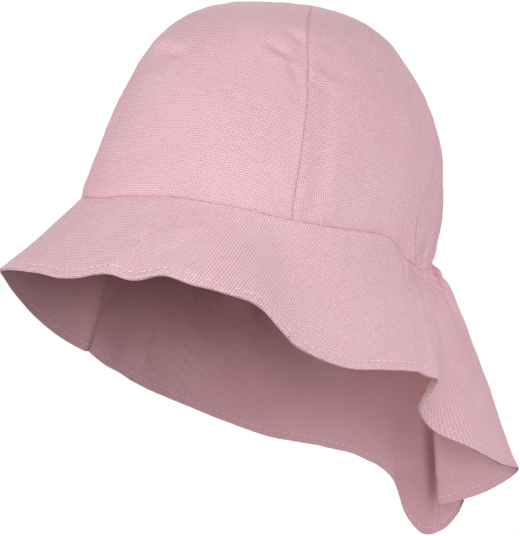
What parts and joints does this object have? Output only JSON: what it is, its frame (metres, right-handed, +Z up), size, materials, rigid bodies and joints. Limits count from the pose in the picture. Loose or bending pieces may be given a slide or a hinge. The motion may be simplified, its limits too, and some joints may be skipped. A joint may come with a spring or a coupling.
{
  "type": "child's sun hat",
  "caption": "Soft child's sun hat with a panelled crown, a short brim over the face and a long wavy flap that shades the neck.",
  "frame": {"origin": "middle of the head opening, where the hat sits on a head", "axes": "+Z up as the hat is worn, -Y where the face looks, +X to the wearer's left"},
  "size_m": [0.2194, 0.2514, 0.2628],
  "materials": {
    "linen": "matt plain weave"
  },
  "bodies": {
    "root": {"crown_front_panel": "linen", "crown_left_panel": "linen", "crown_right_panel": "linen", "crown_back_panel": "linen", "brim_front": "linen", "neck_flap": "linen"}
  },
  "joints": []
}
